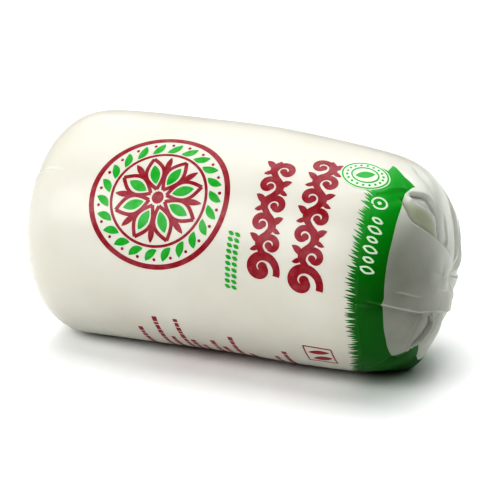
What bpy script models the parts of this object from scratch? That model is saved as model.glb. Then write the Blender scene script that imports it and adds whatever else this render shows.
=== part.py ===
"""One-kilo pack of tulum cheese in printed film, lying on its side.

The pack is a filled tube of film: a slightly barrelled cylinder with two full, rounded ends.
Its long axis runs along X, and the printed side faces -Y. On the +X end the film is laid in
overlapping folds that run to a tuck a little off the axis. On the -X end it is gathered in
plainer pleats. Underneath, the pack's own weight has pressed a narrow flat for it to rest on.

Lengths are in metres. A turn is an angle round the long axis: 0 at the top, growing towards
the printed side.
"""
import math
import random
from collections import namedtuple

import bmesh
import bpy
import numpy as np

MM = 0.001

LENGTH = 0.1628
RADIUS = 0.0448
WIDEST_X = -0.0306
BARREL_DROP = 0.00195
BARREL_REACH = 0.0724

# The pack is bent a little, with its middle arched up, and its underside is pressed flat at
# this height from the axis
ARCH_RISE = 0.0028
ARCH_MIDDLE = 0.001
ARCH_SPAN = 0.150
UNDERSIDE = -0.04156

SECTIONS_AROUND = 98
SECTIONS_ALONG = 58
GATHERED_SHARE = 0.24
BARREL_SHARE = 0.20

FOLD_EDGE = 0.0015
FOLD_STEPS_PER_SPAN = 8
PLEAT_SEED = 7

FILM_COLOUR = (0.80, 0.78, 0.70, 1.0)
FILM_ROUGHNESS = 0.38

# An end is a full dome. Its fullness is the power of its rounded profile, under and on top.
# The tuck is the place in the end's own (y, z) face where the film's folds run together.
End = namedtuple("End", "side reach full_under full_top tuck dimple dimple_width")
PLEATED_END = End(1, 0.0353, 3.0, 3.5, (0.0145, -0.0050), 0.0026, 0.0050)
GATHERED_END = End(-1, 0.0251, 2.85, 3.5, (0.0010, -0.0020), 0.0034, 0.0055)

# Where the cheese has sagged: its place, its height, and its spread along and round the pack
Heel = namedtuple("Heel", "x turn height length width")
HEEL = Heel(0.0668, 187.3, 0.0041, 0.0071, 0.0118)

# A fold is a line through (y, z) points in millimetres on the end's face. Left and right are
# the sides met on walking it, seen from outside the +X end. A positive height stands proud.
Fold = namedtuple("Fold", "points left right left_width right_width fade_in fade_out")

PLEATED_FOLDS = (
    # Rounded rim above the deep pocket
    Fold([(-11.3, 34.5), (-7.9, 33.4), (-3.7, 31.7), (-1.8, 28.9), (-1.0, 23.9), (-1.2, 16.4)],
         0.8, -2.1, 2.6, 2.0, 0.12, 0.10),
    # Upper edge of the narrow fold between the pocket and the broad flap
    Fold([(-12.6, 34.3), (-11.4, 31.6), (-8.9, 29.2), (-5.1, 26.3), (-2.7, 23.0), (-1.2, 15.8)],
         -1.0, 1.0, 1.6, 2.2, 0.12, 0.12),
    # Upper edge of the broad flap that crosses the end
    Fold([(-16.3, 34.1), (-18.2, 28.9), (-17.1, 25.2), (-7.8, 18.5), (5.2, 9.5), (12.4, 2.4)],
         -1.9, 0.8, 2.6, 4.5, 0.12, 0.22),
    # Valley behind the rim
    Fold([(5.5, 39.5), (3.9, 36.4), (3.4, 31.8), (2.3, 27.0), (0.6, 20.0), (0.2, 13.4)],
         -0.9, -1.3, 2.2, 1.6, 0.18, 0.10),
    # Small crease on the outermost fold
    Fold([(6.8, 24.0), (7.3, 17.0), (8.2, 11.5), (7.7, 7.9)],
         0.4, -0.8, 1.4, 1.4, 0.30, 0.15),
    # Lower edge of the broad flap, which starts in the printed band
    Fold([(-39.3, 0.3), (-36.1, -1.0), (-29.8, -3.8), (-20.5, -7.7), (-8.5, -11.4), (11.0, -18.2),
          (22.0, -22.0)],
         1.0, -1.5, 2.6, 3.6, 0.10, 0.25),
    # Short crease in the flap above that edge
    Fold([(-32.8, 3.6), (-28.3, 1.9), (-21.6, -1.1), (-15.2, -3.3)],
         0.2, -0.5, 1.2, 1.2, 0.30, 0.40),
    # Two edges of the pocket under the flap
    Fold([(-15.5, -9.0), (-19.3, -13.5), (-21.2, -18.9), (-21.3, -24.4)],
         -1.2, 0.6, 2.2, 2.4, 0.12, 0.30),
    Fold([(-6.7, -12.3), (-6.0, -16.8), (-10.3, -20.1), (-14.9, -22.6), (-20.4, -25.4)],
         0.8, -1.6, 2.2, 2.0, 0.12, 0.30),
    # Edge where the film turns under the pack, first up from the band and then across the end
    Fold([(-23.0, -34.0), (-24.2, -30.7), (-24.8, -28.2), (-24.5, -25.5)],
         0.3, -1.0, 3.0, 3.0, 0.45, 0.10),
    Fold([(-24.5, -25.5), (-20.8, -26.5), (-16.7, -24.1), (-9.2, -21.0), (-3.8, -17.4), (-3.0, -14.9)],
         0.5, -2.6, 3.0, 3.2, 0.12, 0.25),
    # Soft ridge that runs back from the rim into the printed band
    Fold([(-20.6, 35.5), (-14.8, 36.0), (-9.6, 35.3)], 0.35, -0.35, 2.2, 2.2, 0.50, 0.25),
    # Faint tension lines near the tuck
    Fold([(-9.6, 5.2), (-1.2, 0.5), (6.3, -2.7)], 0.15, -0.25, 1.6, 1.6, 0.4, 0.3),
    Fold([(-5.1, -3.1), (4.4, -7.3), (8.5, -7.6)], 0.15, -0.30, 1.6, 1.6, 0.4, 0.3),
)

# Broad, shallow hollows in the stretched panels, and one swelling with a depth below zero:
# y, z, depth and spread in millimetres
PLEATED_HOLLOWS = ((-22.0, 9.5, 0.7, 10.0), (-27.0, -12.5, 0.6, 7.0), (16.0, 24.0, 0.7, 9.0),
                   (22.0, -24.0, 0.7, 9.0), (-4.0, -31.0, 0.6, 8.0), (36.0, -8.0, 0.45, 7.0),
                   (38.0, 12.0, -2.2, 9.0))
TUCK_CALM = 0.013

# Pleats that the loops below lay round the ends: first and last turn, and how many
BACK_PLEATS = (-32, -188, 8)
GATHERED_PLEATS = (0, 330, 12)

GATHERED_FOLDS = (
    # Crease over the shoulder of the gathered end
    Fold([(-33.0, 31.0), (-29.5, 28.2), (-24.5, 23.6), (-16.0, 15.5)],
         -0.7, 0.5, 2.0, 2.0, 0.25, 0.30),
)


def barrel_radius(x):
    """Radius of the filled tube at x, before its ends close."""
    return RADIUS - BARREL_DROP * ((x - WIDEST_X) / BARREL_REACH) ** 2


def barrel_slope(x):
    """How fast that radius changes along the pack."""
    return -2 * BARREL_DROP * (x - WIDEST_X) / BARREL_REACH ** 2


def fullness(end, y, z):
    """Power of the end's profile in the direction of (y, z)."""
    away = np.hypot(y, z)
    upward = 0.5 + 0.5 * np.divide(z, away, out=np.zeros_like(away), where=away > 0)
    return end.full_under + (end.full_top - end.full_under) * upward


def end_skin(end, y, z):
    """Points of the smooth end, from places (y, z) in its unit disc."""
    power = fullness(end, y, z)
    out = np.clip(np.hypot(y, z), 0.0, 1.0)
    rise = end.reach * (1 - out ** power) ** (1 / power)
    x = end.side * (LENGTH / 2 - end.reach + rise)
    radius = barrel_radius(x)
    return np.stack([x, radius * y, radius * z], axis=-1)


def skin_normal(points):
    """Outward directions of the smooth pack at its points."""
    x, y, z = points.T
    away = np.hypot(y, z)
    radius = barrel_radius(x)
    outward_x = -barrel_slope(x) * away / radius
    outward_r = np.ones_like(x)
    for end in (PLEATED_END, GATHERED_END):
        rise = (end.side * x - (LENGTH / 2 - end.reach)) / end.reach
        on_end = rise > 0
        power = fullness(end, y, z)
        share = np.clip(away / radius, 0, 1) ** (power - 1)
        slope = radius / end.reach * np.clip(rise, 0, 1) ** (power - 1)
        outward_x = np.where(on_end, share * outward_x + end.side * slope, outward_x)
        outward_r = np.where(on_end, share, outward_r)
    safe = np.where(away > 0, away, 1.0)
    normal = np.stack([outward_x, outward_r * y / safe, outward_r * z / safe], axis=-1)
    return normal / np.linalg.norm(normal, axis=1, keepdims=True)


def ring_sizes(end, steps):
    """Sizes in the unit disc of evenly spaced rings, from the shoulder to the tuck."""
    power = (end.full_under + end.full_top) / 2
    angle = np.linspace(0, math.pi / 2, 400)
    size = np.cos(angle).clip(0) ** (2 / power)
    rise = end.reach * np.sin(angle) ** (2 / power)
    run = np.hypot(np.diff(rise), np.diff(RADIUS * size))
    travelled = np.concatenate([[0], np.cumsum(run)])
    return np.interp(steps * travelled[-1], travelled, size)


def smooth_skin(turn, along):
    """Points of the unfolded pack, from turns and places 0 to 1 along it."""
    points = np.empty((len(turn), 3))
    barrel_end = GATHERED_SHARE + BARREL_SHARE
    zones = (
        (GATHERED_END, along < GATHERED_SHARE, 1 - along / GATHERED_SHARE),
        (PLEATED_END, along > barrel_end, (along - barrel_end) / (1 - barrel_end)),
    )
    inner = (along >= GATHERED_SHARE) & (along <= barrel_end)
    left_x = -(LENGTH / 2 - GATHERED_END.reach)
    right_x = LENGTH / 2 - PLEATED_END.reach
    x = left_x + (right_x - left_x) * (along[inner] - GATHERED_SHARE) / BARREL_SHARE
    radius = barrel_radius(x)
    points[inner] = np.stack([x, -radius * np.sin(turn[inner]), radius * np.cos(turn[inner])], -1)
    for end, on_end, steps in zones:
        size = ring_sizes(end, steps[on_end])
        drift = (1 - size) ** 1.5 / RADIUS
        disc_y = -size * np.sin(turn[on_end]) + end.tuck[0] * drift
        disc_z = size * np.cos(turn[on_end]) + end.tuck[1] * drift
        points[on_end] = end_skin(end, disc_y, disc_z)
    return points


def fold_line(end, fold):
    """Curve of a fold on the smooth end, through its points."""
    anchors = np.array(fold.points, dtype=float) * MM
    before = 2 * anchors[:1] - anchors[1:2]
    after = 2 * anchors[-1:] - anchors[-2:-1]
    guides = np.concatenate([before, anchors, after])
    t = np.linspace(0, 1, FOLD_STEPS_PER_SPAN, endpoint=False)[:, None]
    spans = []
    for a, b, c, d in zip(guides, guides[1:], guides[2:], guides[3:]):
        spans.append(0.5 * (2 * b + (c - a) * t + (2 * a - 5 * b + 4 * c - d) * t ** 2
                            + (3 * b - a - 3 * c + d) * t ** 3))
    face = np.concatenate(spans + [anchors[-1:]])
    size = face / RADIUS
    for _ in range(6):
        line = end_skin(end, size[:, 0], size[:, 1])
        size = face / barrel_radius(line[:, 0])[:, None]
        size /= np.maximum(1, np.hypot(size[:, 0], size[:, 1]) / 0.995)[:, None]
    return line


def ease(value):
    """Smooth step from 0 to 1."""
    value = np.clip(value, 0, 1)
    return value * value * (3 - 2 * value)


def fold_relief(points, end, fold):
    """Height that one fold adds to the skin at its points."""
    line = fold_line(end, fold)
    start = line[:-1]
    span = np.diff(line, axis=0)
    from_start = points[:, None, :] - start[None]
    share = np.einsum("ijk,jk->ij", from_start, span) / np.einsum("jk,jk->j", span, span)
    share = share.clip(0, 1)
    offset = from_start - share[..., None] * span[None]
    gap = np.linalg.norm(offset, axis=2)
    nearest = gap.argmin(axis=1)
    row = np.arange(len(points))
    gap = gap[row, nearest]
    offset = offset[row, nearest]
    heading = span[nearest]
    to_left = heading[:, 1] * offset[:, 2] - heading[:, 2] * offset[:, 1]
    on_left = 0.5 + 0.5 * np.tanh(np.sign(to_left) * gap / FOLD_EDGE)
    left = fold.left * MM * np.exp(-gap / (fold.left_width * MM))
    right = fold.right * MM * np.exp(-gap / (fold.right_width * MM))
    progress = (nearest + share[row, nearest]) / len(span)
    fade = ease(progress / fold.fade_in) * ease((1 - progress) / fold.fade_out)
    return (on_left * left + (1 - on_left) * right) * fade


def radial_pleats(end, pleats, start, sway, height):
    """Folds laid by a loop round an end, each from near its shoulder to its tuck."""
    first, last, count = pleats
    draw = random.Random(PLEAT_SEED + end.side)
    tuck_y, tuck_z = end.tuck
    folds = []
    for number in range(count):
        turn = math.radians(first + (last - first) * number / (count - 1) + draw.uniform(-6, 6))
        out_y, out_z = -math.sin(turn), math.cos(turn)
        reach = RADIUS * start * draw.uniform(0.88, 1.0)
        bend = sway * draw.uniform(0.5, 1.3)
        points = []
        for inward in (0.0, 0.35, 0.65, 0.88):
            side = bend * math.sin(math.pi * inward)
            y = out_y * reach * (1 - inward) + tuck_y * inward + side * out_z
            z = out_z * reach * (1 - inward) + tuck_z * inward - side * out_y
            points.append((y / MM, z / MM))
        proud = height * draw.uniform(0.7, 1.2)
        folds.append(Fold(points, proud, -1.3 * proud, 3.4, 2.2, 0.45, 0.12))
    return folds


def tuck_relief(points, end):
    """Hollow where the folds run together, with small ruffles round it."""
    y = points[:, 1] - end.tuck[0]
    z = points[:, 2] - end.tuck[1]
    away = np.hypot(y, z)
    hollow = -end.dimple * np.exp(-(away / end.dimple_width) ** 2)
    ring = np.exp(-((away - 1.2 * end.dimple_width) / end.dimple_width) ** 2)
    return hollow + 0.04 * end.dimple * ring * np.cos(9 * np.arctan2(y, z))


def calm_near_tuck(points, end):
    """Share of the folds' height that is left where they crowd together."""
    away = np.hypot(points[:, 1] - end.tuck[0], points[:, 2] - end.tuck[1])
    return 0.15 + 0.85 * ease(away / TUCK_CALM)


def panel_relief(points):
    """Hollows of the stretched panels on the pleated end."""
    relief = np.zeros(len(points))
    for y, z, depth, spread in PLEATED_HOLLOWS:
        away = np.hypot(points[:, 1] / MM - y, points[:, 2] / MM - z)
        relief -= depth * MM * np.exp(-(away / spread) ** 2)
    return relief


def unevenness(points):
    """Broad, shallow hollows and swells of the hand-filled tube."""
    x, y, z = points.T
    turn = np.arctan2(-y, z)
    along = 2 * math.pi * x / LENGTH
    swell = 0.16 * np.sin(1.7 * along + 2.0 * turn + 0.4) + 0.12 * np.sin(2.9 * along - 3.0 * turn)
    dent = 0.5 * np.exp(-((x - 0.002) / 0.011) ** 2 - ((turn - 1.69) * RADIUS / 0.008) ** 2)
    return (swell - dent) * MM


def heel_relief(points):
    """Fullness low on the pleated end, where the cheese has sagged on to the table."""
    x, y, z = points.T
    past = np.mod(np.arctan2(-y, z) - math.radians(HEEL.turn) + math.pi, 2 * math.pi) - math.pi
    spread = ((x - HEEL.x) / HEEL.length) ** 2 + (past * RADIUS / HEEL.width) ** 2
    return HEEL.height * np.exp(-spread)


def bend_and_press(folded, x):
    """Arches the pack up in its middle, then presses its underside flat."""
    folded[:, 2] += ARCH_RISE * np.cos(math.pi * (x - ARCH_MIDDLE) / ARCH_SPAN)
    folded[:, 2] = np.maximum(folded[:, 2], UNDERSIDE)


def folded_skin(turn, along):
    """Points of the finished pack: the smooth skin with its folds, then its resting flat."""
    skin = smooth_skin(turn, along)
    relief = unevenness(skin) + heel_relief(skin)
    back = radial_pleats(PLEATED_END, BACK_PLEATS, 0.86, 0.0035, 0.8)
    gathers = radial_pleats(GATHERED_END, GATHERED_PLEATS, 0.80, 0.0040, 0.7)
    ends = ((PLEATED_END, [*PLEATED_FOLDS, *back]), (GATHERED_END, [*GATHERED_FOLDS, *gathers]))
    for end, folds in ends:
        near = end.side * skin[:, 0] > LENGTH / 2 - end.reach
        folded_film = sum(fold_relief(skin[near], end, fold) for fold in folds)
        relief[near] += folded_film * calm_near_tuck(skin[near], end) + tuck_relief(skin[near], end)
    on_pleated = skin[:, 0] > LENGTH / 2 - PLEATED_END.reach
    relief[on_pleated] += panel_relief(skin[on_pleated])
    folded = skin + relief[:, None] * skin_normal(skin)
    bend_and_press(folded, skin[:, 0])
    return folded


def film_material():
    """Matt white film, a little yellow from the cheese under it."""
    material = bpy.data.materials.new("printed_film")
    material.use_nodes = True
    shader = material.node_tree.nodes["Principled BSDF"]
    shader.inputs["Base Color"].default_value = FILM_COLOUR
    shader.inputs["Roughness"].default_value = FILM_ROUGHNESS
    shader.inputs["Metallic"].default_value = 0.0
    return material


def cheese_pack():
    """The filled pack as one closed solid, centred over the origin and resting on z = 0."""
    shape = bmesh.new()
    bmesh.ops.create_uvsphere(shape, u_segments=SECTIONS_AROUND, v_segments=SECTIONS_ALONG, radius=1.0)
    ball = np.array([vert.co for vert in shape.verts])
    turn = np.arctan2(-ball[:, 1], ball[:, 0])
    along = 0.5 + np.arcsin(ball[:, 2].clip(-1, 1)) / math.pi
    pack = folded_skin(turn, along)
    low, high = pack.min(axis=0), pack.max(axis=0)
    pack -= np.array([(low[0] + high[0]) / 2, (low[1] + high[1]) / 2, low[2]])
    for vert, place in zip(shape.verts, pack):
        vert.co = place
    bmesh.ops.recalc_face_normals(shape, faces=shape.faces[:])
    bmesh.ops.triangulate(shape, faces=shape.faces[:])
    mesh = bpy.data.meshes.new("cheese_pack")
    shape.to_mesh(mesh)
    shape.free()
    mesh.shade_smooth()
    mesh.materials.append(film_material())
    return bpy.data.objects.new("cheese_pack", mesh)


def main():
    for thing in list(bpy.data.objects):
        bpy.data.objects.remove(thing, do_unlink=True)
    collection = bpy.data.collections.new("packed_tulum_cheese")
    bpy.context.scene.collection.children.link(collection)
    collection.objects.link(cheese_pack())


main()
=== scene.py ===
"""Looks of the one-kilo pack of tulum cheese: its folded film, the print on it and its finishes.

The pack lies along X with the printed side towards -Y. A turn is an angle round the pack, 0 at
the top and growing towards the printed side. The print is drawn flat first: "along" runs with
the pack's X and "round" is the way round its girth, both in millimetres. Each flat shape is
then wrapped on the folded film as a thin layer of ink.
"""
import math
import random
from collections import namedtuple

import bmesh
import bpy
import numpy as np
from mathutils import Matrix, Vector


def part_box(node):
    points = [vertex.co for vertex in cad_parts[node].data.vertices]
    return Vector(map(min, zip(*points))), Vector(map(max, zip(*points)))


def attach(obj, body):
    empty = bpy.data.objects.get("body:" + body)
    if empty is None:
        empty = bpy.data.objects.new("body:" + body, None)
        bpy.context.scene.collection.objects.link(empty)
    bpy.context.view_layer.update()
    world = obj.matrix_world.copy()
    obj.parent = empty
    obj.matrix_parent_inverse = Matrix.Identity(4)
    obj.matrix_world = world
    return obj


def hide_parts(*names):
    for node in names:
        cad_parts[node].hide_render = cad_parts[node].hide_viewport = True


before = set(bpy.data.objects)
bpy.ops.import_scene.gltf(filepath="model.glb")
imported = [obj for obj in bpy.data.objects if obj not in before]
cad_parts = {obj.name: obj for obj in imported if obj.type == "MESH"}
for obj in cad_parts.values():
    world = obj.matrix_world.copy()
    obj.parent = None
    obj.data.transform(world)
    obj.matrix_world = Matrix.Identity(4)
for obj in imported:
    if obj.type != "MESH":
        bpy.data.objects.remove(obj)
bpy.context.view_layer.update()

MM = 0.001

# The filled tube of film, as the solid has it
LENGTH = 0.1628
RADIUS = 0.0448
WIDEST_X = -0.0306
BARREL_DROP = 0.00195
BARREL_REACH = 0.0724

# The pack is bent a little, with its middle arched up, and its underside is pressed flat at
# this height from the axis
ARCH_RISE = 0.0028
ARCH_MIDDLE = 0.001
ARCH_SPAN = 0.150
UNDERSIDE = -0.04156

# How finely the film is modelled: the shares of its rows that the gathered end and the barrel
# take, its faces around and along, and how crisp its folds are
GATHERED_SHARE = 0.24
BARREL_SHARE = 0.20
FILM_AROUND = 420
FILM_ALONG = 226
FOLD_EDGE = 0.00022
FOLD_STEPS_PER_SPAN = 12
FOLD_REACH = 0.020
# Width of the painted highlight along fold edges and creases
CREASE_HIGHLIGHT_WIDTH = 0.00045

End = namedtuple("End", "side reach full_under full_top tuck dimple dimple_width")
PLEATED_END = End(1, 0.0353, 3.0, 3.5, (0.0145, -0.0050), 0.0026, 0.0050)
GATHERED_END = End(-1, 0.0251, 2.85, 3.5, (0.0010, -0.0020), 0.0034, 0.0055)
ENDS = (PLEATED_END, GATHERED_END)

# Where the cheese has sagged: its place, its height, and its spread along and round the pack
Heel = namedtuple("Heel", "x turn height length width")
HEEL = Heel(0.0668, 187.3, 0.0041, 0.0071, 0.0118)

# A fold is a line through (y, z) points in millimetres on the end's face. Left and right are
# the sides met on walking it, seen from outside the +X end. A positive height stands proud.
Fold = namedtuple("Fold", "points left right left_width right_width fade_in fade_out")

PLEATED_FOLDS = (
    # Rounded rim above the deep pocket
    Fold([(-11.3, 34.5), (-7.9, 33.4), (-3.7, 31.7), (-1.8, 28.9), (-1.0, 23.9), (-1.2, 16.4)],
         0.8, -2.1, 2.6, 2.0, 0.12, 0.10),
    # Upper edge of the narrow fold between the pocket and the broad flap
    Fold([(-12.6, 34.3), (-11.4, 31.6), (-8.9, 29.2), (-5.1, 26.3), (-2.7, 23.0), (-1.2, 15.8)],
         -1.0, 1.0, 1.6, 2.2, 0.12, 0.12),
    # Upper edge of the broad flap that crosses the end
    Fold([(-16.3, 34.1), (-18.2, 28.9), (-17.1, 25.2), (-7.8, 18.5), (5.2, 9.5), (12.4, 2.4)],
         -1.9, 0.8, 2.6, 4.5, 0.12, 0.22),
    # Valley behind the rim
    Fold([(5.5, 39.5), (3.9, 36.4), (3.4, 31.8), (2.3, 27.0), (0.6, 20.0), (0.2, 13.4)],
         -0.9, -1.3, 2.2, 1.6, 0.18, 0.10),
    # Small crease on the outermost fold
    Fold([(6.8, 24.0), (7.3, 17.0), (8.2, 11.5), (7.7, 7.9)],
         0.4, -0.8, 1.4, 1.4, 0.30, 0.15),
    # Lower edge of the broad flap, which starts in the printed band
    Fold([(-39.3, 0.3), (-36.1, -1.0), (-29.8, -3.8), (-20.5, -7.7), (-8.5, -11.4), (11.0, -18.2),
          (22.0, -22.0)],
         1.0, -1.5, 2.6, 3.6, 0.10, 0.25),
    # Short crease in the flap above that edge
    Fold([(-32.8, 3.6), (-28.3, 1.9), (-21.6, -1.1), (-15.2, -3.3)],
         0.2, -0.5, 1.2, 1.2, 0.30, 0.40),
    # Two edges of the pocket under the flap
    Fold([(-15.5, -9.0), (-19.3, -13.5), (-21.2, -18.9), (-21.3, -24.4)],
         -1.2, 0.6, 2.2, 2.4, 0.12, 0.30),
    Fold([(-6.7, -12.3), (-6.0, -16.8), (-10.3, -20.1), (-14.9, -22.6), (-20.4, -25.4)],
         0.8, -1.6, 2.2, 2.0, 0.12, 0.30),
    # Edge where the film turns under the pack, first up from the band and then across the end
    Fold([(-23.0, -34.0), (-24.2, -30.7), (-24.8, -28.2), (-24.5, -25.5)],
         0.3, -1.0, 3.0, 3.0, 0.45, 0.10),
    Fold([(-24.5, -25.5), (-20.8, -26.5), (-16.7, -24.1), (-9.2, -21.0), (-3.8, -17.4),
          (-3.0, -14.9)],
         0.5, -2.6, 3.0, 3.2, 0.12, 0.25),
    # Soft ridge that runs back from the rim into the printed band
    Fold([(-20.6, 35.5), (-14.8, 36.0), (-9.6, 35.3)], 0.35, -0.35, 2.2, 2.2, 0.50, 0.25),
    # Faint tension lines near the tuck
    Fold([(-9.6, 5.2), (-1.2, 0.5), (6.3, -2.7)], 0.15, -0.25, 1.6, 1.6, 0.4, 0.3),
    Fold([(-5.1, -3.1), (4.4, -7.3), (8.5, -7.6)], 0.15, -0.30, 1.6, 1.6, 0.4, 0.3),
)

# Broad, shallow hollows in the stretched panels, and one swelling with a depth below zero:
# y, z, depth and spread in millimetres
PLEATED_HOLLOWS = ((-22.0, 9.5, 0.7, 10.0), (-27.0, -12.5, 0.6, 7.0), (16.0, 24.0, 0.7, 9.0),
                   (22.0, -24.0, 0.7, 9.0), (-4.0, -31.0, 0.6, 8.0), (36.0, -8.0, 0.45, 7.0),
                   (38.0, 12.0, -2.2, 9.0))

# How far from the tuck the folds reach their full height
TUCK_CALM = 0.013

# The open panels of clear film: their middle on the end's face, where it starts to lie in
# layers and where it is fully gathered, in millimetres from that middle. Towards the rim the
# film is painted lighter: partly its doubled layers, partly painted light through it from behind.
PANEL_MIDDLE = (-30.0, -6.0)
PANEL_REACH = (16.0, 58.0)

# The single layer in the pocket: its middle on the end's face, half its length and width in
# millimetres, and how it leans
POCKET_WINDOW = (-10.4, 25.0)
POCKET_REACH = (10.5, 2.8)
POCKET_LEAN = -0.80

# The gap of the printed band at the top, a painted highlight where glare lies on the film: its
# middle turn, half its width and its soft edge in degrees, then the x where the white film
# starts to clear and over how many millimetres
TOP_GLARE_GAP = (-17.0, 24.0, 4.0)
TOP_GLARE_FADE = (60.0, 16.0)

# Pleats that the loops below lay round the ends: first and last turn, and how many
BACK_PLEATS = (-32, -188, 8)
GATHERED_PLEATS = (0, 330, 12)
PLEAT_SEED = 7

GATHERED_FOLDS = (
    # Crease over the shoulder of the gathered end
    Fold([(-33.0, 31.0), (-29.5, 28.2), (-24.5, 23.6), (-16.0, 15.5)],
         -0.7, 0.5, 2.0, 2.0, 0.25, 0.30),
)

# Pressed creases of the film on the round of the pack: (x in mm, turn in degrees), height in mm
CREASES = (
    ([(53.5, 34.5), (61.9, 29.5), (67.8, 23.0), (71.8, 14.0)], 0.22),
    ([(57.5, 91.0), (65.0, 92.0), (73.0, 92.5)], 0.20),
    ([(-77.0, 46.0), (-69.0, 44.5), (-60.5, 45.5)], 0.16),
)

# Printed band: its left and right edges as (turn in degrees, x in mm). At the top the right edge
# steps to the left of the left one, which leaves the band open there: a painted highlight where
# glare lies on the film. Under the pack it widens.
BAND_LEFT = ((-180, 58.0), (-150, 60.0), (-120, 63.0), (0, 62.2), (20, 62.2), (36, 62.8),
             (60, 63.8), (112, 63.8), (124, 63.0), (134, 61.3), (146, 59.2), (160, 58.3),
             (180, 58.0))
BAND_RIGHT = ((-180, 71.8), (-120, 71.4), (-80, 72.0), (-52, 71.0), (-42, 66.0), (-36, 60.0),
              (3.0, 60.0), (4.0, 63.5), (5, 64.5), (8.6, 68.3), (10.2, 72.6), (13, 72.0),
              (20, 71.2), (32, 72.0), (52, 72.6), (88, 72.4), (92, 71.4), (94, 72.4),
              (110, 72.0), (118, 72.0), (124, 71.7), (136, 71.7), (138, 73.0), (141, 75.0),
              (148, 76.5), (156, 78.0), (166, 76.0), (180, 71.8))

# Heights of the ink in millimetres: how far it reaches into the film, and its lowest top
INK_ROOT = -0.04
INK_TOP = 0.045
INK_LAYERS = 5
INK_LAYER_STEP = 0.012

# Places and sizes in the print, along and round in millimetres. A stretch lengthens a round
# shape along the pack.
EMBLEM_CENTRE = (-18.6, 43.4)
EMBLEM_RADIUS = 26.5
EMBLEM_STRETCH = 1.04
TITLE_SLANT = 0.07
TITLE_MIDDLE_ROUND = 42.0
BADGE_CENTRE = (55.8, 15.4)
BADGE_RADIUS = 8.0
BADGE_STRETCH = 1.18
GIRTH = 2 * math.pi * RADIUS / MM
GRASS = (9.0, 0.89 * GIRTH)
BAND_MARK_ALONG = 66.5
BAND_RING_CENTRE = (65.2, 27.2)

# Rows of dashes round the underside, as along: first round place, and the box beside them
DASH_ROWS = {-28.0: 101.0, -20.0: 93.2, -16.0: 106.6, -11.2: 93.2, -8.0: 107.6, -4.6: 112.0,
             1.0: 105.2, 4.8: 110.0, 10.0: 99.6, 14.5: 114.0, 26.0: 110.6, 30.8: 104.4}
DASH_ROWS_END = 158
PRINTED_BOX = (40.5, 51.6, 97.0, 108.2)

# Colours of the inks and the film. The band's green is painted light: dark low, lighter near the
# top.
GREEN = (0.001, 0.130, 0.002, 1.0)
GREEN_PAINTED_LIGHT = (0.010, 0.330, 0.030, 1.0)
PAINTED_LIGHT_HEIGHTS = (0.045, 0.080)
EMBLEM_GREEN = (0.006, 0.300, 0.018, 1.0)
DARK_RED = (0.240, 0.004, 0.018, 1.0)
FILM_WHITE = (0.560, 0.550, 0.500, 1.0)
FILM_SHADED = (0.525, 0.512, 0.455, 1.0)
CLEAR_FILM = (0.290, 0.300, 0.255, 1.0)
# Film by the rim: partly its doubled layers, partly painted light shining through it from behind
LAYERED_FILM_AND_RIM_LIGHT = (0.780, 0.800, 0.735, 1.0)
CHEESE_THROUGH = (0.445, 0.475, 0.355, 1.0)
# Painted highlight along fold edges and pressed creases
CREASE_HIGHLIGHT = (0.700, 0.700, 0.670, 1.0)
PALE_PRINT = (0.560, 0.640, 0.520, 1.0)
FLOOR_PALE = (0.895, 0.900, 0.900, 1.0)
FLOOR_CLOUDED = (0.880, 0.885, 0.885, 1.0)

# Camera: the photograph's angle, its distance and the place in the picture of the pack's middle
CAMERA_AZIMUTH = 25.0
CAMERA_HEIGHT = 19.62
CAMERA_DISTANCE = 1.0345
CAMERA_FOCAL_PX = 2673.4
CAMERA_AIM_HEIGHT = 0.0429
PICTURE_PX = 500
PACK_MIDDLE_PX = (244.95, 241.78)
SENSOR_MM = 36.0

# Softboxes: name, azimuth from the printed side, height in degrees, size in metres, watts
SOFTBOXES = (
    ("front_left", 330, 32, 0.7, 6.7),
    ("high_left", 260, 60, 0.7, 1.9),
    ("low_left", 290, 12, 0.6, 0.6),
    ("high_back", 200, 60, 0.7, 3.6),
    ("overhead", 0, 90, 0.8, 3.6),
    ("beside_camera", 10, 38, 0.7, 1.8),
    ("back_left", 205, 32, 0.7, 1.2),
    ("back", 170, 32, 0.7, 1.2),
    ("back_right", 140, 32, 0.7, 1.3),
    ("right", 110, 32, 0.7, 0.5),
)
LIGHT_DISTANCE = 1.2
ROOM_LIGHT = 0.06


def barrel_radius(x):
    """Radius of the filled tube at x, before its ends close."""
    return RADIUS - BARREL_DROP * ((x - WIDEST_X) / BARREL_REACH) ** 2


def barrel_slope(x):
    """How fast that radius changes along the pack."""
    return -2 * BARREL_DROP * (x - WIDEST_X) / BARREL_REACH ** 2


def fullness(end, y, z):
    """Power of the end's profile in the direction of (y, z)."""
    away = np.hypot(y, z)
    upward = 0.5 + 0.5 * np.divide(z, away, out=np.zeros_like(away), where=away > 0)
    return end.full_under + (end.full_top - end.full_under) * upward


def end_skin(end, y, z):
    """Points of the smooth end, from places (y, z) in its unit disc."""
    power = fullness(end, y, z)
    out = np.clip(np.hypot(y, z), 0.0, 1.0)
    rise = end.reach * (1 - out ** power) ** (1 / power)
    x = end.side * (LENGTH / 2 - end.reach + rise)
    radius = barrel_radius(x)
    return np.stack([x, radius * y, radius * z], axis=-1)


def skin_normal(points):
    """Outward directions of the smooth pack at its points."""
    x, y, z = points.T
    away = np.hypot(y, z)
    radius = barrel_radius(x)
    outward_x = -barrel_slope(x) * away / radius
    outward_r = np.ones_like(x)
    for end in ENDS:
        rise = (end.side * x - (LENGTH / 2 - end.reach)) / end.reach
        on_end = rise > 0
        power = fullness(end, y, z)
        share = np.clip(away / radius, 0, 1) ** (power - 1)
        slope = radius / end.reach * np.clip(rise, 0, 1) ** (power - 1)
        outward_x = np.where(on_end, share * outward_x + end.side * slope, outward_x)
        outward_r = np.where(on_end, share, outward_r)
    safe = np.where(away > 0, away, 1.0)
    normal = np.stack([outward_x, outward_r * y / safe, outward_r * z / safe], axis=-1)
    return normal / np.linalg.norm(normal, axis=1, keepdims=True)


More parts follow.
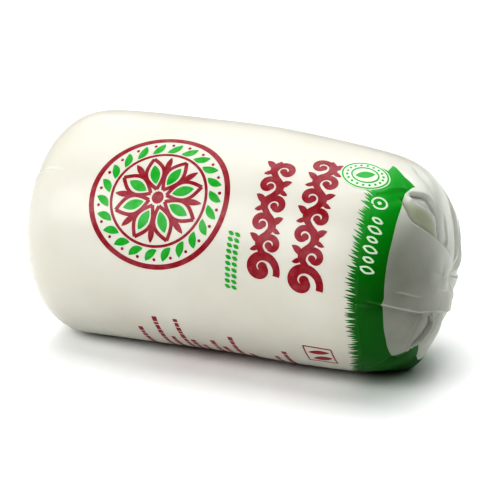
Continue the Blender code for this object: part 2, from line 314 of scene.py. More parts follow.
def ring_sizes(end, steps):
    """Sizes in the unit disc of evenly spaced rings, from the shoulder to the tuck."""
    power = (end.full_under + end.full_top) / 2
    angle = np.linspace(0, math.pi / 2, 400)
    size = np.cos(angle).clip(0) ** (2 / power)
    rise = end.reach * np.sin(angle) ** (2 / power)
    run = np.hypot(np.diff(rise), np.diff(RADIUS * size))
    travelled = np.concatenate([[0], np.cumsum(run)])
    return np.interp(steps * travelled[-1], travelled, size)


def smooth_skin(turn, along):
    """Points of the unfolded pack, from turns and places 0 to 1 along it."""
    points = np.empty((len(turn), 3))
    barrel_end = GATHERED_SHARE + BARREL_SHARE
    zones = (
        (GATHERED_END, along < GATHERED_SHARE, 1 - along / GATHERED_SHARE),
        (PLEATED_END, along > barrel_end, (along - barrel_end) / (1 - barrel_end)),
    )
    inner = (along >= GATHERED_SHARE) & (along <= barrel_end)
    left_x = -(LENGTH / 2 - GATHERED_END.reach)
    right_x = LENGTH / 2 - PLEATED_END.reach
    x = left_x + (right_x - left_x) * (along[inner] - GATHERED_SHARE) / BARREL_SHARE
    radius = barrel_radius(x)
    points[inner] = np.stack([x, -radius * np.sin(turn[inner]), radius * np.cos(turn[inner])], -1)
    for end, on_end, steps in zones:
        size = ring_sizes(end, steps[on_end])
        drift = (1 - size) ** 1.5 / RADIUS
        disc_y = -size * np.sin(turn[on_end]) + end.tuck[0] * drift
        disc_z = size * np.cos(turn[on_end]) + end.tuck[1] * drift
        points[on_end] = end_skin(end, disc_y, disc_z)
    return points


def skin_at(x, turn):
    """Points of the unfolded pack at places x and turns round it."""
    y, z = -np.sin(turn), np.cos(turn)
    size = np.ones_like(x)
    for end in ENDS:
        rise = np.clip((end.side * x - (LENGTH / 2 - end.reach)) / end.reach, 0, 1)
        power = fullness(end, y, z)
        size = size * (1 - rise ** power) ** (1 / power)
    radius = barrel_radius(x) * size
    return np.stack([x, radius * y, radius * z], axis=-1)


def smooth_line(anchors, steps_per_span):
    """Curve through anchor points, with even steps between them."""
    anchors = np.array(anchors, dtype=float)
    guides = np.concatenate([2 * anchors[:1] - anchors[1:2], anchors,
                             2 * anchors[-1:] - anchors[-2:-1]])
    t = np.linspace(0, 1, steps_per_span, endpoint=False)[:, None]
    spans = []
    for a, b, c, d in zip(guides, guides[1:], guides[2:], guides[3:]):
        spans.append(0.5 * (2 * b + (c - a) * t + (2 * a - 5 * b + 4 * c - d) * t ** 2
                            + (3 * b - a - 3 * c + d) * t ** 3))
    return np.concatenate(spans + [anchors[-1:]])


def fold_line(end, fold):
    """Curve of a fold on the smooth end, through its points."""
    face = smooth_line(np.array(fold.points) * MM, FOLD_STEPS_PER_SPAN)
    size = face / RADIUS
    for _ in range(6):
        line = end_skin(end, size[:, 0], size[:, 1])
        size = face / barrel_radius(line[:, 0])[:, None]
        size /= np.maximum(1, np.hypot(size[:, 0], size[:, 1]) / 0.995)[:, None]
    return line


def ease(value):
    """Smooth step from 0 to 1."""
    value = np.clip(value, 0, 1)
    return value * value * (3 - 2 * value)


def nearest_on_line(points, line):
    """For each point: the nearest span of the line, the share along it, and the way from it."""
    start = line[:-1]
    span = np.diff(line, axis=0)
    from_start = points[:, None, :] - start[None]
    share = np.einsum("ijk,jk->ij", from_start, span) / np.einsum("jk,jk->j", span, span)
    share = share.clip(0, 1)
    offset = from_start - share[..., None] * span[None]
    nearest = np.linalg.norm(offset, axis=2).argmin(axis=1)
    row = np.arange(len(points))
    return nearest, share[row, nearest], offset[row, nearest]


def fold_relief(points, end, fold):
    """Height that one fold adds to the skin at its points, and how close they are to its edge."""
    relief = np.zeros(len(points))
    crease = np.zeros(len(points))
    line = fold_line(end, fold)
    close = np.all((points > line.min(axis=0) - FOLD_REACH)
                   & (points < line.max(axis=0) + FOLD_REACH), axis=1)
    nearest, share, offset = nearest_on_line(points[close], line)
    gap = np.linalg.norm(offset, axis=1)
    heading = np.diff(line, axis=0)[nearest]
    to_left = heading[:, 1] * offset[:, 2] - heading[:, 2] * offset[:, 1]
    on_left = 0.5 + 0.5 * np.tanh(np.sign(to_left) * gap / FOLD_EDGE)
    left = fold.left * MM * np.exp(-gap / (fold.left_width * MM))
    right = fold.right * MM * np.exp(-gap / (fold.right_width * MM))
    progress = (nearest + share) / (len(line) - 1)
    fade = ease(progress / fold.fade_in) * ease((1 - progress) / fold.fade_out)
    relief[close] = (on_left * left + (1 - on_left) * right) * fade
    # Closeness for the painted highlight, strongest on the proud side of a step
    proud_side = np.where((to_left > 0) == (fold.left > fold.right), gap, 2 * gap)
    step = min(1.0, abs(fold.left - fold.right) / 2)
    crease[close] = step * fade * np.exp(-(proud_side / CREASE_HIGHLIGHT_WIDTH) ** 2)
    return relief, crease


def radial_pleats(end, pleats, start, sway, height):
    """Folds laid by a loop round an end, each from near its shoulder to its tuck."""
    first, last, count = pleats
    draw = random.Random(PLEAT_SEED + end.side)
    tuck_y, tuck_z = end.tuck
    folds = []
    for number in range(count):
        turn = math.radians(first + (last - first) * number / (count - 1) + draw.uniform(-6, 6))
        out_y, out_z = -math.sin(turn), math.cos(turn)
        reach = RADIUS * start * draw.uniform(0.88, 1.0)
        bend = sway * draw.uniform(0.5, 1.3)
        points = []
        for inward in (0.0, 0.35, 0.65, 0.88):
            side = bend * math.sin(math.pi * inward)
            y = out_y * reach * (1 - inward) + tuck_y * inward + side * out_z
            z = out_z * reach * (1 - inward) + tuck_z * inward - side * out_y
            points.append((y / MM, z / MM))
        proud = height * draw.uniform(0.7, 1.2)
        folds.append(Fold(points, proud, -1.3 * proud, 3.4, 2.2, 0.45, 0.12))
    return folds


def tuck_relief(points, end):
    """Hollow where the folds run together, with small ruffles round it."""
    y = points[:, 1] - end.tuck[0]
    z = points[:, 2] - end.tuck[1]
    away = np.hypot(y, z)
    hollow = -end.dimple * np.exp(-(away / end.dimple_width) ** 2)
    ring = np.exp(-((away - 1.2 * end.dimple_width) / end.dimple_width) ** 2)
    return hollow + 0.04 * end.dimple * ring * np.cos(9 * np.arctan2(y, z))


def calm_near_tuck(points, end):
    """Share of the folds' height that is left where they crowd together."""
    away = np.hypot(points[:, 1] - end.tuck[0], points[:, 2] - end.tuck[1])
    return 0.15 + 0.85 * ease(away / TUCK_CALM)


def panel_relief(points):
    """Hollows of the stretched panels on the pleated end."""
    relief = np.zeros(len(points))
    for y, z, depth, spread in PLEATED_HOLLOWS:
        away = np.hypot(points[:, 1] / MM - y, points[:, 2] / MM - z)
        relief -= depth * MM * np.exp(-(away / spread) ** 2)
    return relief


def turns_of(points):
    """Turn of each point round the pack."""
    return np.arctan2(-points[:, 1], points[:, 2])


def unevenness(points):
    """Broad, shallow hollows and swells of the hand-filled tube."""
    x = points[:, 0]
    turn = turns_of(points)
    along = 2 * math.pi * x / LENGTH
    swell = 0.16 * np.sin(1.7 * along + 2.0 * turn + 0.4) + 0.12 * np.sin(2.9 * along - 3.0 * turn)
    dent = 0.5 * np.exp(-((x - 0.002) / 0.011) ** 2 - ((turn - 1.69) * RADIUS / 0.008) ** 2)
    return (swell - dent) * MM


def heel_relief(points):
    """Fullness low on the pleated end, where the cheese has sagged on to the table."""
    x, y, z = points.T
    past = np.mod(np.arctan2(-y, z) - math.radians(HEEL.turn) + math.pi, 2 * math.pi) - math.pi
    spread = ((x - HEEL.x) / HEEL.length) ** 2 + (past * RADIUS / HEEL.width) ** 2
    return HEEL.height * np.exp(-spread)


def bend_and_press(folded, x):
    """Arches the pack up in its middle, then presses its underside flat."""
    folded[:, 2] += ARCH_RISE * np.cos(math.pi * (x - ARCH_MIDDLE) / ARCH_SPAN)
    folded[:, 2] = np.maximum(folded[:, 2], UNDERSIDE)


def crease_relief(points):
    """Height and closeness of the creases pressed in the film round the pack."""
    relief = np.zeros(len(points))
    closeness = np.zeros(len(points))
    spread = np.stack([points[:, 0], turns_of(points) * RADIUS, np.zeros(len(points))], axis=-1)
    for anchors, height in CREASES:
        flat = [(x * MM, math.radians(turn) * RADIUS, 0.0) for x, turn in anchors]
        line = smooth_line(flat, 8)
        nearest, share, offset = nearest_on_line(spread, line)
        gap = np.linalg.norm(offset, axis=1)
        progress = (nearest + share) / (len(line) - 1)
        fade = ease(progress / 0.3) * ease((1 - progress) / 0.3)
        relief += height * MM * fade * np.exp(-(gap / 0.0007) ** 2)
        # Closeness for the painted highlight along the crease
        closeness = np.maximum(closeness, 0.6 * fade * np.exp(-(gap / CREASE_HIGHLIGHT_WIDTH) ** 2))
    return relief, closeness


def fold_film(skin):
    """Points of the finished film over points of the smooth skin, and their closeness to creases."""
    relief = unevenness(skin) + heel_relief(skin)
    pressed, crease = crease_relief(skin)
    relief += pressed
    back = radial_pleats(PLEATED_END, BACK_PLEATS, 0.86, 0.0035, 0.8)
    gathers = radial_pleats(GATHERED_END, GATHERED_PLEATS, 0.80, 0.0040, 0.7)
    ends = ((PLEATED_END, [*PLEATED_FOLDS, *back]), (GATHERED_END, [*GATHERED_FOLDS, *gathers]))
    for end, folds in ends:
        near = end.side * skin[:, 0] > LENGTH / 2 - end.reach
        if not near.any():
            continue
        calm = calm_near_tuck(skin[near], end)
        for fold in folds:
            height, closeness = fold_relief(skin[near], end, fold)
            relief[near] += height * calm
            crease[near] = np.maximum(crease[near], closeness * calm)
        relief[near] += tuck_relief(skin[near], end)
    on_pleated = skin[:, 0] > LENGTH / 2 - PLEATED_END.reach
    relief[on_pleated] += panel_relief(skin[on_pleated])
    folded = skin + relief[:, None] * skin_normal(skin)
    bend_and_press(folded, skin[:, 0])
    return folded, crease


def past_edge(points, edge):
    """How far each point lies to the right of an edge of the printed band."""
    turns, places = zip(*edge)
    return points[:, 0] - np.interp(np.degrees(turns_of(points)), turns, places) * MM


def layers_and_rim_light(points):
    """How much the pleated end's film is doubled up and painted lit from behind, 0 in the open
    panels to 1 by the rim.
    """
    y, z = points[:, 1] / MM, points[:, 2] / MM
    away = np.hypot(y - PANEL_MIDDLE[0], z - PANEL_MIDDLE[1])
    return ease((away - PANEL_REACH[0]) / (PANEL_REACH[1] - PANEL_REACH[0]))


def one_layer(points):
    """Where the pleated end's film is a single layer in the pocket, so that the cheese shows."""
    across, up = points[:, 1] / MM - POCKET_WINDOW[0], points[:, 2] / MM - POCKET_WINDOW[1]
    lengthwise = across * math.cos(POCKET_LEAN) + up * math.sin(POCKET_LEAN)
    sideways = up * math.cos(POCKET_LEAN) - across * math.sin(POCKET_LEAN)
    away = np.hypot(lengthwise / POCKET_REACH[0], sideways / POCKET_REACH[1])
    return ease(1.6 - 1.2 * away) * (points[:, 0] > 0)


def painted_top_glare(points):
    """Painted highlight in the band's gap: how white the clear film is, 1 at its edge, fading along
    the end.
    """
    middle, half, soft = TOP_GLARE_GAP
    away = np.abs((np.degrees(turns_of(points)) - middle + 180) % 360 - 180)
    clear_from, clear_over = TOP_GLARE_FADE
    return ease((half - away) / soft) * (1 - ease((points[:, 0] / MM - clear_from) / clear_over))


def new_piece(name, shape, material):
    """A mesh object from a bmesh, riding on the pack's one body."""
    mesh = bpy.data.meshes.new(name)
    shape.to_mesh(mesh)
    shape.free()
    mesh.shade_smooth()
    mesh.materials.append(material)
    piece = bpy.data.objects.new(name, mesh)
    bpy.context.scene.collection.objects.link(piece)
    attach(piece, "root")
    return piece


def add_values(mesh, name, values):
    """Stores one number at each point of a mesh, for its material to read."""
    layer = mesh.attributes.new(name, "FLOAT", "POINT")
    layer.data.foreach_set("value", np.asarray(values, dtype=np.float32))


def pack_offset(folded):
    """How far the folded film moves to lie where the solid lies."""
    low, high = (np.array(corner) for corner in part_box("cheese_pack"))
    return np.array([(low[0] + high[0] - folded[:, 0].min() - folded[:, 0].max()) / 2,
                     (low[1] + high[1] - folded[:, 1].min() - folded[:, 1].max()) / 2,
                     low[2] - folded[:, 2].min()])


def film_pack(material):
    """The folded film round the cheese, and the offset that everything printed on it shares."""
    shape = bmesh.new()
    bmesh.ops.create_uvsphere(shape, u_segments=FILM_AROUND, v_segments=FILM_ALONG, radius=1.0)
    ball = np.array([vert.co for vert in shape.verts])
    turn = np.arctan2(-ball[:, 1], ball[:, 0])
    along = 0.5 + np.arcsin(ball[:, 2].clip(-1, 1)) / math.pi
    skin = smooth_skin(turn, along)
    folded, crease = fold_film(skin)
    offset = pack_offset(folded)
    for vert, place in zip(shape.verts, folded + offset):
        vert.co = place
    bmesh.ops.recalc_face_normals(shape, faces=shape.faces[:])
    piece = new_piece("film_pack", shape, material)
    add_values(piece.data, "past_left", past_edge(skin, BAND_LEFT))
    add_values(piece.data, "past_right", past_edge(skin, BAND_RIGHT))
    add_values(piece.data, "crease", crease)
    # This share also paints the rim lighter, as painted light through the film from behind
    add_values(piece.data, "gathered", layers_and_rim_light(skin))
    add_values(piece.data, "one_layer", one_layer(skin))
    # Painted highlight where glare lies on the film at the top
    add_values(piece.data, "painted_top_glare", painted_top_glare(skin))
    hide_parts("cheese_pack")
    return offset


class Ink:
    """Flat shapes of one colour, which are then wrapped on the film as one piece."""

    def __init__(self):
        self.sheet = bmesh.new()
        self.layer = self.sheet.verts.layers.float.new("layer")
        self.count = 0

    def grid(self, steps, across, place):
        """Adds a strip of faces and moves its points to place(along the strip, across it)."""
        made = bmesh.ops.create_grid(self.sheet, x_segments=steps, y_segments=across, size=1.0)
        level = self.count % INK_LAYERS
        self.count += 1
        for vert in made["verts"]:
            along, aside = place((vert.co.x + 1) / 2, vert.co.y)
            vert.co = (along, aside, 0.0)
            vert[self.layer] = level
        bmesh.ops.remove_doubles(self.sheet, verts=made["verts"], dist=0.004)

    def stroke(self, path, widths, across=1):
        """A line of varying width along a path of (along, round) points."""
        path = np.array(path, dtype=float)
        steps = len(path) - 1
        widths = np.broadcast_to(np.asarray(widths, dtype=float), (len(path),))
        heading = np.gradient(path, axis=0)
        heading /= np.linalg.norm(heading, axis=1, keepdims=True)

        def place(way, aside):
            at = round(way * steps)
            half = widths[at] / 2 * aside
            return path[at, 0] - heading[at, 1] * half, path[at, 1] + heading[at, 0] * half

        self.grid(steps, across, place)

    def ring(self, centre, radius, width, sides=72, stretch=1.0):
        """A closed ring, stretched along the pack."""

        def place(way, aside):
            angle = 2 * math.pi * way
            out = radius + width / 2 * aside
            return centre[0] + out * stretch * math.cos(angle), centre[1] + out * math.sin(angle)

        self.grid(sides, 1, place)

    def disc(self, centre, radius, sides=20, rings=2, stretch=1.0):
        """A filled round, stretched along the pack."""

        def place(way, aside):
            angle = 2 * math.pi * way
            out = radius * (aside + 1) / 2
            return centre[0] + out * stretch * math.cos(angle), centre[1] + out * math.sin(angle)

        self.grid(sides, rings, place)

    def leaf(self, root, tip, width, bend=0.0, steps=8, fullest=0.5):
        """A pointed leaf from root to tip, bent aside by bend times its length."""
        root, tip = np.array(root, float), np.array(tip, float)
        way = np.linspace(0, 1, steps + 1)
        side = np.array([-(tip - root)[1], (tip - root)[0]])
        path = root + way[:, None] * (tip - root) + (bend * np.sin(math.pi * way))[:, None] * side
        swell = np.sin(math.pi * way ** (math.log(0.5) / math.log(fullest)))
        self.stroke(path, width * swell.clip(0) ** 0.8)

    def bar(self, start, finish, width, steps=4):
        """A straight bar with square ends."""
        way = np.linspace(0, 1, steps + 1)[:, None]
        self.stroke(np.array(start) + way * (np.array(finish) - np.array(start)), width)

    def curl(self, centre, first, sweep, big, small, width, bulb, steps=26):
        """A spiral that winds in to a round bulb: first angle and sweep in degrees."""
        way = np.linspace(0, 1, steps + 1)
        angle = np.radians(first + sweep * way)
        out = small + (big - small) * (1 - way) ** 1.25
        path = np.stack([centre[0] + out * np.cos(angle), centre[1] + out * np.sin(angle)], -1)
        self.stroke(path, width * (0.72 + 0.5 * np.sin(math.pi * way.clip(0.05, 1)) ** 0.7))
        self.disc(tuple(path[-1]), bulb)

    def wrap(self, name, material, slot, offset, lift=0.0):
        """Gives the flat shapes their thickness and lays them on the folded film."""
        bmesh.ops.solidify(self.sheet, geom=self.sheet.faces[:], thickness=1.0)
        flat = np.array([vert.co for vert in self.sheet.verts])
        level = np.array([vert[self.layer] for vert in self.sheet.verts])
        skin = skin_at(flat[:, 0] * MM, flat[:, 1] * MM / RADIUS)
        film, _ = fold_film(skin)
        on_top = np.abs(flat[:, 2]) > 0.5
        height = np.where(on_top, INK_TOP + lift + INK_LAYER_STEP * level, INK_ROOT)
        wrapped = film + height[:, None] * MM * skin_normal(skin) + offset
        for vert, place in zip(self.sheet.verts, wrapped):
            vert.co = place
        bmesh.ops.recalc_face_normals(self.sheet, faces=self.sheet.faces[:])
        piece = new_piece(name, self.sheet, material)
        piece.data.set_sharp_from_angle(angle=math.radians(50))
        return piece


def polar(centre, radius, degrees, stretch=1.0):
    """Place in the print at a radius and angle from a centre, on a round stretched along."""
    angle = math.radians(degrees)
    return centre[0] + radius * stretch * math.cos(angle), centre[1] + radius * math.sin(angle)


def leaf_side(root, tip, bend, steps=14):
    """One arched side of a leaf or petal, as a path."""
    root, tip = np.array(root, float), np.array(tip, float)
    way = np.linspace(0, 1, steps + 1)
    side = np.array([-(tip - root)[1], (tip - root)[0]])
    return root + way[:, None] * (tip - root) + (bend * np.sin(math.pi * way))[:, None] * side


def draw_emblem(red, green):
    """Round rosette: an outer ring, a wreath of slanting leaves and eight petals in the middle."""

    def at(radius, degrees):
        return polar(EMBLEM_CENTRE, radius, degrees, EMBLEM_STRETCH)

    wreath_ring = 0.70 * EMBLEM_RADIUS
    red.ring(EMBLEM_CENTRE, EMBLEM_RADIUS, 2.0, sides=120, stretch=EMBLEM_STRETCH)
    red.ring(EMBLEM_CENTRE, wreath_ring, 1.0, sides=96, stretch=EMBLEM_STRETCH)
    leaves = 22
    for number in range(leaves):
        angle = 360 * number / leaves
        green.leaf(at(wreath_ring + 1.3, angle), at(EMBLEM_RADIUS - 2.1, angle + 12), 3.0,
                   bend=0.10)
        red.disc(at(EMBLEM_RADIUS - 2.9, angle + 3.5), 0.6, sides=10, rings=1)
    petals = 8
    for number in range(petals):
        angle = 360 * (number + 0.5) / petals
        for side in (-1, 1):
            petal = leaf_side(at(3.4, angle), at(wreath_ring - 1.6, angle), 0.26 * side)
            red.stroke(petal, 1.4)
        green.leaf(at(5.6, angle), at(wreath_ring - 4.6, angle), 3.8)
        between = angle + 180 / petals
        red.leaf(at(10.0, between), at(wreath_ring - 1.2, between), 2.4)
    red.disc(EMBLEM_CENTRE, 2.4, sides=24)


def slanted(along, around):
    """Place in the title, whose rows slant towards the gathered end as they climb the pack."""
    return along + TITLE_SLANT * (around - TITLE_MIDDLE_ROUND), around


def draw_vine(red, middle, first_round, last_round, bays, tall):
    """A running vine scroll that climbs the pack: a wavy stem with a curl and a leaf in each bay."""
    bay = (first_round - last_round) / bays
    unit = tall / 6.5

    def at(forward, up):
        return slanted(middle - up * unit, first_round - forward)

    forward = np.linspace(0, bay * bays, 10 * bays + 1)
    stem = [at(way, 2.5 * math.sin(math.pi * way / bay)) for way in forward]
    red.stroke(stem, 2.0 + 0.7 * np.abs(np.sin(math.pi * forward / bay)))
    for number in range(bays):
        side = 1 if number % 2 == 0 else -1
        place = at((number + 0.5) * bay, -2.5 * side)
        # Up in the row is against "along", and forward is against "round"
        red.curl(place, 90 + 38 * side, side * 395, 0.60 * bay, 0.9 * unit, 2.1, 1.4)
        crest = at((number + 0.45) * bay, 2.4 * side)
        red.leaf(crest, at((number + 0.95) * bay, 6.4 * side), 2.6, bend=0.12 * side)
        red.leaf(crest, at((number + 0.15) * bay, 6.0 * side), 1.9, bend=-0.12 * side)


def draw_title(red):
    """Two rows of vine scroll, each led by one large curl."""
    red.curl(slanted(25.0, 63.9), 20, -430, 6.6, 1.0, 3.1, 1.8, steps=36)
    draw_vine(red, 26.2, 58.4, 19.9, 5, 6.2)
    red.curl(slanted(41.5, 66.2), 20, -430, 7.2, 1.0, 3.2, 1.9, steps=36)
    draw_vine(red, 43.4, 60.2, 13.3, 6, 6.6)


def draw_small_row(green):
    """Two short lines of small slanting leaves, side by side."""
    for number in range(10):
        round_place = 74.0 - 2.3 * number
        green.leaf((17.2, round_place), (14.9, round_place - 1.2), 1.5, steps=6)
        green.leaf((14.6, round_place - 0.2), (12.3, round_place - 1.4), 1.5, steps=6)


def draw_grass(green):
    """Blades of grass along the band's left edge, from the badge down and round to the back."""
    draw = random.Random(31)
    round_place, finish = GRASS
    turns, places = zip(*BAND_LEFT)
    while round_place < finish:
        turn = math.degrees(round_place * MM / RADIUS)
        edge = np.interp(turn if turn < 180 else turn - 360, turns, places)
        root_width = draw.uniform(1.15, 1.75)
        length = draw.uniform(2.8, 4.9)
        lean = -length * (0.42 * (1 - ease((turn - 55) / 45)) + draw.uniform(-0.10, 0.10))
        root = (edge + 0.35, round_place)
        tip = (edge - length, round_place + lean)
        way = np.linspace(0, 1, 6)
        path = leaf_side(root, tip, draw.uniform(-0.08, 0.08), steps=5)
        green.stroke(path, root_width * (1 - way ** 1.3) + 0.02)
        round_place += root_width * draw.uniform(0.72, 0.92)


def draw_badge(pale, green):
    """A pale oval with a thin ring, a ring of dots and a leaf in the middle."""
    pale.disc(BADGE_CENTRE, BADGE_RADIUS, sides=64, rings=8, stretch=BADGE_STRETCH)
    green.ring(BADGE_CENTRE, BADGE_RADIUS - 0.7, 0.5, stretch=BADGE_STRETCH)
    dots = 18
    for number in range(dots):
        place = polar(BADGE_CENTRE, BADGE_RADIUS - 2.2, 360 * number / dots, BADGE_STRETCH)
        green.disc(place, 0.5, sides=8, rings=1)
    green.ring(BADGE_CENTRE, BADGE_RADIUS - 3.7, 0.45, stretch=BADGE_STRETCH)
    green.leaf(polar(BADGE_CENTRE, 3.7, 150), polar(BADGE_CENTRE, 3.7, -30), 3.8)


def draw_band_marks(pale):
    """A row of slanting leaves and one ring, left pale in the printed band."""
    for number in range(6):
        place = 56.7 - 4.3 * number
        tall = 4.9 if number % 2 == 0 else 3.7
        root = (BAND_MARK_ALONG + tall / 2, place + 0.14 * tall)
        tip = (BAND_MARK_ALONG - tall / 2, place - 0.14 * tall)
        for side in (-1, 1):
            pale.stroke(leaf_side(root, tip, 0.25 * side), 0.85)
    pale.ring(BAND_RING_CENTRE, 2.6, 0.8, sides=36)
    pale.disc(BAND_RING_CENTRE, 0.8, sides=12, rings=1)


def draw_small_print(red):
    """Rows of short dashes that run round the underside, with a plain outlined box."""
    draw = random.Random(12)
    for along, begin in DASH_ROWS.items():
        place = begin
        while place < DASH_ROWS_END:
            length = draw.uniform(1.2, 4.2)
            red.bar((along, place), (along, place + length), draw.uniform(1.5, 1.9), steps=3)
            place += length + draw.uniform(0.5, 0.9)
    left, right, top, bottom = PRINTED_BOX
    corners = ((left, top), (right, top), (right, bottom), (left, bottom))
    for start, finish in zip(corners, corners[1:] + corners[:1]):
        red.bar(start, finish, 0.5, steps=8)
    red.leaf((41.8, 101.2), (50.4, 99.6), 2.6)
    red.leaf((42.6, 106.2), (50.6, 103.8), 3.0)


def set_socket(shader, **values):
    """Sets a shader's own sockets, named with underscores for spaces."""
    for name, value in values.items():
        shader.inputs[name.replace("_", " ")].default_value = value


class Finish:
    """A material of shader nodes under one Principled surface."""

    def __init__(self, name):
        self.material = bpy.data.materials.new(name)
        self.material.use_nodes = True
        self.tree = self.material.node_tree
        self.shader = self.tree.nodes["Principled BSDF"]
        self.place = self.add("ShaderNodeTexCoord").outputs["Object"]

    def add(self, kind, **settings):
        node = self.tree.nodes.new(kind)
        for name, value in settings.items():
            setattr(node, name, value)
        return node

    def join(self, source, target):
        self.tree.links.new(source, target)

    def stretched(self, stretch):
        """Object coordinates stretched along the axes."""
        mapping = self.add("ShaderNodeMapping")
        mapping.inputs["Scale"].default_value = stretch
        self.join(self.place, mapping.inputs["Vector"])
        return mapping.outputs["Vector"]

    def noise(self, scale, detail=2.0, stretch=None):
        node = self.add("ShaderNodeTexNoise")
        node.inputs["Scale"].default_value = scale
        node.inputs["Detail"].default_value = detail
        self.join(self.stretched(stretch) if stretch else self.place, node.inputs["Vector"])
        return node.outputs["Fac"]

    def stored(self, name):
        return self.add("ShaderNodeAttribute", attribute_name=name).outputs["Fac"]

    def math(self, operation, first, second):
        node = self.add("ShaderNodeMath", operation=operation)
        for socket, value in zip(node.inputs, (first, second)):
            if isinstance(value, (int, float)):
                socket.default_value = value
            else:
                self.join(value, socket)
        return node.outputs[0]

    def span(self, value, low, high, to_low=0.0, to_high=1.0):
        """A value from low to high, turned into one from to_low to to_high."""
        node = self.add("ShaderNodeMapRange")
        node.inputs["From Min"].default_value = low
        node.inputs["From Max"].default_value = high
        node.inputs["To Min"].default_value = to_low
        node.inputs["To Max"].default_value = to_high
        self.join(value, node.inputs["Value"])
        return node.outputs["Result"]

    def mix(self, share, first, second):
        """First colour where share is 0, second where it is 1."""
        node = self.add("ShaderNodeMix", data_type="RGBA")
        for socket, value in ((node.inputs[0], share), (node.inputs[6], first),
                              (node.inputs[7], second)):
            if isinstance(value, (int, float, tuple)):
                socket.default_value = value
            else:
                self.join(value, socket)
        return node.outputs[2]

    def painted_light_by_height(self, low, high):
        """Painted light: a shaded colour turning into a lit one from the pack's middle height to its
        shoulder.
        """
        parts = self.add("ShaderNodeSeparateXYZ")
        self.join(self.place, parts.inputs[0])
        return self.mix(self.span(parts.outputs["Z"], *PAINTED_LIGHT_HEIGHTS), low, high)

    def colour(self, socket):
        self.join(socket, self.shader.inputs["Base Color"])

    def rough(self, socket):
        self.join(socket, self.shader.inputs["Roughness"])

    def bump(self, height, strength, distance):
        node = self.add("ShaderNodeBump")
        node.inputs["Strength"].default_value = strength
        node.inputs["Distance"].default_value = distance
        self.join(height, node.inputs["Height"])
        self.join(node.outputs["Normal"], self.shader.inputs["Normal"])


def film_surface(finish):
    """Fine waviness and satin gloss that the film and its ink share."""
    wavy = finish.noise(85.0, detail=3.0, stretch=(0.55, 1.0, 1.0))
    fine = finish.noise(900.0, detail=1.0)
    height = finish.math("ADD", wavy, finish.math("MULTIPLY", fine, 0.03))
    finish.bump(height, 0.20, 0.0007)
    finish.rough(finish.span(finish.noise(140.0), 0.3, 0.7, 0.30, 0.40))
    set_socket(finish.shader, IOR=1.37)


def printed_film():
    """White film over pale cheese, its printed band, and the clear film of the pleated end."""
    finish = Finish("printed_film")
    cloudy = finish.span(finish.noise(24.0, detail=4.0), 0.35, 0.65)
    white = finish.mix(cloudy, FILM_WHITE, FILM_SHADED)
    milky = finish.span(finish.noise(60.0, detail=4.0), 0.3, 0.7, 0.0, 0.22)
    clear = finish.mix(milky, CLEAR_FILM, FILM_WHITE)
    # Painted light: by the rim the film is painted much lighter, partly doubled film, partly light
    # through it
    clear = finish.mix(finish.stored("gathered"), clear, LAYERED_FILM_AND_RIM_LIGHT)
    clear = finish.mix(finish.stored("one_layer"), clear, CHEESE_THROUGH)
    # Painted highlight: in the band's gap at the top the clear film is painted white where glare
    # lies
    clear = finish.mix(finish.stored("painted_top_glare"), clear, white)
    beyond = finish.math("GREATER_THAN", finish.stored("past_right"), 0.0)
    in_band = finish.math("MULTIPLY", finish.math("GREATER_THAN", finish.stored("past_left"), 0.0),
                          finish.math("SUBTRACT", 1.0, beyond))
    # The band's green has painted light: darker low on the pack, lighter towards its top
    colour = finish.mix(in_band, white, finish.painted_light_by_height(GREEN, GREEN_PAINTED_LIGHT))
    colour = finish.mix(beyond, colour, clear)
    # Painted highlight along fold edges and creases, weaker on the band
    crease_highlight_share = finish.math("SUBTRACT", 0.55, finish.math("MULTIPLY", in_band, 0.47))
    colour = finish.mix(finish.math("MULTIPLY", finish.stored("crease"), crease_highlight_share), colour,
                        CREASE_HIGHLIGHT)
    finish.colour(colour)
    film_surface(finish)
    set_socket(finish.shader, Subsurface_Weight=0.12, Subsurface_Radius=(0.0030, 0.0026, 0.0018),
               Subsurface_Scale=1.0)
    return finish.material


def ink_finish(name, colour, thin, lit_colour_at_top=None):
    """Printed ink: its colour thins a little where the film shows through."""
    finish = Finish(name)
    worn = finish.span(finish.noise(320.0, detail=3.0), 0.35, 0.75, 0.0, 0.16)
    # For the band's green this paints light: darker low on the pack, lighter towards its top
    shade = finish.painted_light_by_height(colour, lit_colour_at_top or colour)
    finish.colour(finish.mix(worn, shade, thin))
    film_surface(finish)
    return finish.material


def lighter(colour, share):
    """A colour moved towards white by a share."""
    return tuple(part + (1.0 - part) * share for part in colour[:3]) + (1.0,)


def lay_floor():
    """Wide pale floor under the pack."""
    shape = bmesh.new()
    bmesh.ops.create_grid(shape, x_segments=8, y_segments=8, size=3.0)
    mesh = bpy.data.meshes.new("floor")
    shape.to_mesh(mesh)
    shape.free()
    finish = Finish("pale_floor")
    cloud = finish.span(finish.noise(6.0), 0.3, 0.7)
    finish.colour(finish.mix(cloud, FLOOR_PALE, FLOOR_CLOUDED))
    set_socket(finish.shader, Roughness=0.55)
    mesh.materials.append(finish.material)
    floor = bpy.data.objects.new("floor", mesh)
    bpy.context.scene.collection.objects.link(floor)


def soft_light(name, azimuth, height, size, power):
    """A square softbox aimed at the pack, from an azimuth counted from the printed side."""
    turn, tilt = math.radians(azimuth), math.radians(height)
    away = Vector((math.sin(turn) * math.cos(tilt), -math.cos(turn) * math.cos(tilt),
                   math.sin(tilt)))
    light = bpy.data.lights.new(name, "AREA")
    light.shape = "SQUARE"
    light.size = size
    light.energy = power
    lamp = bpy.data.objects.new(name, light)
    lamp.location = LIGHT_DISTANCE * away + Vector((0.0, 0.0, RADIUS))
    lamp.rotation_euler = (-away).to_track_quat("-Z", "Y").to_euler()
    bpy.context.scene.collection.objects.link(lamp)


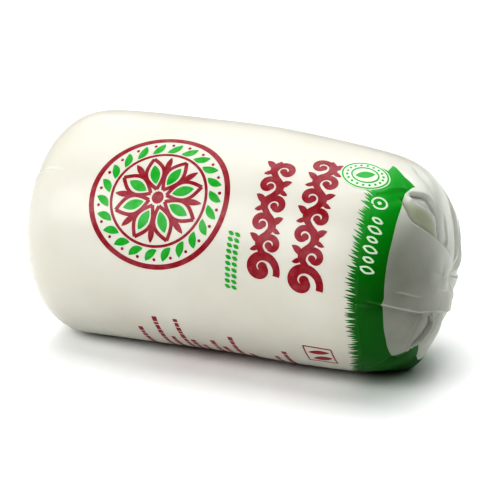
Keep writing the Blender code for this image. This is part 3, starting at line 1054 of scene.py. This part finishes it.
def light_studio():
    """Softboxes all round a pale table, the strongest at the front left, in a dim room."""
    world = bpy.data.worlds.new("dim_room")
    world.use_nodes = True
    room = world.node_tree.nodes["Background"]
    room.inputs["Color"].default_value = (1.0, 1.0, 1.0, 1.0)
    room.inputs["Strength"].default_value = ROOM_LIGHT
    bpy.context.scene.world = world
    for name, azimuth, height, size, power in SOFTBOXES:
        soft_light(name, azimuth, height, size, power)


def set_camera():
    """The camera at the photograph's angle, with the pack where the picture has it."""
    turn, tilt = math.radians(CAMERA_AZIMUTH), math.radians(CAMERA_HEIGHT)
    back = Vector((math.sin(turn) * math.cos(tilt), -math.cos(turn) * math.cos(tilt),
                   math.sin(tilt)))
    right = Vector((math.cos(turn), math.sin(turn), 0.0))
    up = back.cross(right)
    aside = (PACK_MIDDLE_PX[0] - PICTURE_PX / 2) / CAMERA_FOCAL_PX * CAMERA_DISTANCE
    down = (PACK_MIDDLE_PX[1] - PICTURE_PX / 2) / CAMERA_FOCAL_PX * CAMERA_DISTANCE
    middle = Vector((0.0, 0.0, CAMERA_AIM_HEIGHT))
    eye = middle + CAMERA_DISTANCE * back - aside * right + down * up
    lens = bpy.data.cameras.new("camera")
    lens.sensor_width = SENSOR_MM
    lens.lens = SENSOR_MM * CAMERA_FOCAL_PX / PICTURE_PX
    camera = bpy.data.objects.new("camera", lens)
    camera.matrix_world = Matrix((
        (right.x, up.x, back.x, eye.x),
        (right.y, up.y, back.y, eye.y),
        (right.z, up.z, back.z, eye.z),
        (0.0, 0.0, 0.0, 1.0)))
    bpy.context.scene.collection.objects.link(camera)
    bpy.context.scene.camera = camera


def print_pack(offset):
    """All the ink on the film, drawn flat and then wrapped."""
    # The grass and badge lines get the band's painted light by height
    green_ink = ink_finish("green_ink", GREEN, lighter(GREEN, 0.20), GREEN_PAINTED_LIGHT)
    emblem_ink = ink_finish("bright_green_ink", EMBLEM_GREEN, lighter(EMBLEM_GREEN, 0.35))
    red_ink = ink_finish("dark_red_ink", DARK_RED, lighter(DARK_RED, 0.35))
    pale_ink = ink_finish("pale_ink", PALE_PRINT, FILM_WHITE)
    emblem_red, emblem_green, title, small_row = Ink(), Ink(), Ink(), Ink()
    small_print, grass = Ink(), Ink()
    badge_pale, badge_green, band_marks = Ink(), Ink(), Ink()
    draw_emblem(emblem_red, emblem_green)
    draw_title(title)
    draw_small_row(small_row)
    draw_small_print(small_print)
    draw_grass(grass)
    draw_badge(badge_pale, badge_green)
    draw_band_marks(band_marks)
    emblem_red.wrap("emblem_lines", red_ink, "red_print", offset)
    emblem_green.wrap("emblem_leaves", emblem_ink, "green_print", offset)
    title.wrap("title_scroll", red_ink, "red_print", offset)
    small_row.wrap("small_leaf_row", emblem_ink, "green_print", offset)
    small_print.wrap("small_print_rows", red_ink, "red_print", offset)
    grass.wrap("grass_edge", green_ink, "green_print", offset)
    badge_pale.wrap("badge_round", pale_ink, "pale_print", offset, lift=0.07)
    badge_green.wrap("badge_lines", green_ink, "green_print", offset, lift=0.15)
    band_marks.wrap("band_marks", pale_ink, "pale_print", offset)


bpy.context.scene.view_settings.view_transform = "Standard"
bpy.context.scene.view_settings.look = "Very High Contrast"
lay_floor()
light_studio()
set_camera()
print_pack(film_pack(printed_film()))
